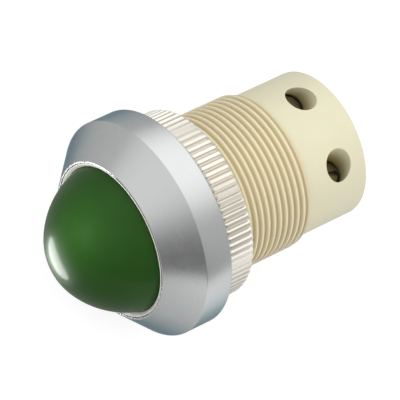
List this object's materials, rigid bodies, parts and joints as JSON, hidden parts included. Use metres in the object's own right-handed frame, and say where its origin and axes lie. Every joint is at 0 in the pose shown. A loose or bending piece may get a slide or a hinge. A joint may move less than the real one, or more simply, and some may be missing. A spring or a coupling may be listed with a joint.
{
  "type": "panel pilot light",
  "caption": "Round panel indicator lamp with a domed lens in a metal bezel, on a threaded body held by a knurled ring nut, with screw terminals at the rear.",
  "frame": {"origin": "on the lamp's axis, in the plane of the bezel's rear edge, which seats on the front of the panel", "axes": "+Y along the lamp's axis from the lens to the terminals, +Z towards the side that the terminal screws are reached from, +X across the two terminals"},
  "size_m": [0.0303, 0.0439, 0.0302],
  "materials": {
    "ivory_plastic": "moulded, fine matt",
    "satin_aluminium": "satin, turned and clear anodised",
    "green_lens": "gloss, translucent moulded green",
    "white_seal": "smooth white elastomer",
    "black_rubber": "matt",
    "plated_steel": "zinc plated",
    "plated_nut": "nickel plated with a knurl",
    "circuit_board": "solder mask",
    "led_resin": "clear tinted resin",
    "brass": "bright, as cut",
    "capacitor_case": "smooth boxed film capacitor",
    "capacitor_sleeve": "shrunk sleeve",
    "black_resin": "moulded resin",
    "resistor_lacquer": "lacquered",
    "wire_insulation": "smooth"
  },
  "bodies": {
    "root": {"housing": "ivory_plastic", "terminal_block": "ivory_plastic", "rear_cover": "ivory_plastic", "panel_gasket": "black_rubber", "led_board": "circuit_board", "led_cluster": "led_resin", "driver_board": "circuit_board", "header_pins": "brass", "dropper_capacitor": "capacitor_case", "smoothing_capacitor": "capacitor_sleeve", "bridge_rectifier": "black_resin", "series_resistor": "resistor_lacquer", "terminal_cage_1": "brass", "terminal_cage_2": "brass", "lead_wire_1": "wire_insulation", "lead_wire_2": "wire_insulation"},
    "washer": {"panel_washer": "plated_steel"},
    "nut": {"ring_nut": "plated_nut"},
    "lens_unit": {"lens": "green_lens", "lens_gasket": "white_seal"},
    "bezel": {"bezel": "satin_aluminium"},
    "clamp_1": {"clamp_plate_1": "plated_steel"},
    "screw_1": {"terminal_screw_1": "plated_steel"},
    "clamp_2": {"clamp_plate_2": "plated_steel"},
    "screw_2": {"terminal_screw_2": "plated_steel"}
  },
  "joints": [
    {"name": "washer_travel", "type": "slide", "parent": "root", "child": "washer", "axis": [0, 1, 0], "range_m": [0, 0.0111]},
    {"name": "nut_turn", "type": "hinge", "parent": "washer", "child": "nut", "pos_m": [0, 0, 0], "axis": [0, 1, 0], "range_deg": [0, 3960]},
    {"name": "lens_travel", "type": "slide", "parent": "root", "child": "lens_unit", "axis": [0, -1, 0], "range_m": [0, 0.0041]},
    {"name": "bezel_turn", "type": "hinge", "parent": "lens_unit", "child": "bezel", "pos_m": [0, 0, 0], "axis": [0, -1, 0], "range_deg": [0, 1440]},
    {"name": "clamp_1_travel", "type": "slide", "parent": "root", "child": "clamp_1", "axis": [0, 0, -1], "range_m": [0, 0.002]},
    {"name": "screw_1_turn", "type": "hinge", "parent": "clamp_1", "child": "screw_1", "pos_m": [-0.00507, 0.0225, 0], "axis": [0, 0, -1], "range_deg": [0, 1460]},
    {"name": "clamp_2_travel", "type": "slide", "parent": "root", "child": "clamp_2", "axis": [0, 0, -1], "range_m": [0, 0.002]},
    {"name": "screw_2_turn", "type": "hinge", "parent": "clamp_2", "child": "screw_2", "pos_m": [0.00507, 0.0225, 0], "axis": [0, 0, -1], "range_deg": [0, 1460]}
  ],
  "couplings": [
    {"joint": "washer_travel", "follows": "nut_turn", "m_per_rad": 0.00015915},
    {"joint": "lens_travel", "follows": "bezel_turn", "m_per_rad": 0.00015915},
    {"joint": "screw_1_turn", "follows": "clamp_1_travel", "rad_per_m": 12566},
    {"joint": "screw_2_turn", "follows": "clamp_2_travel", "rad_per_m": 12566}
  ]
}
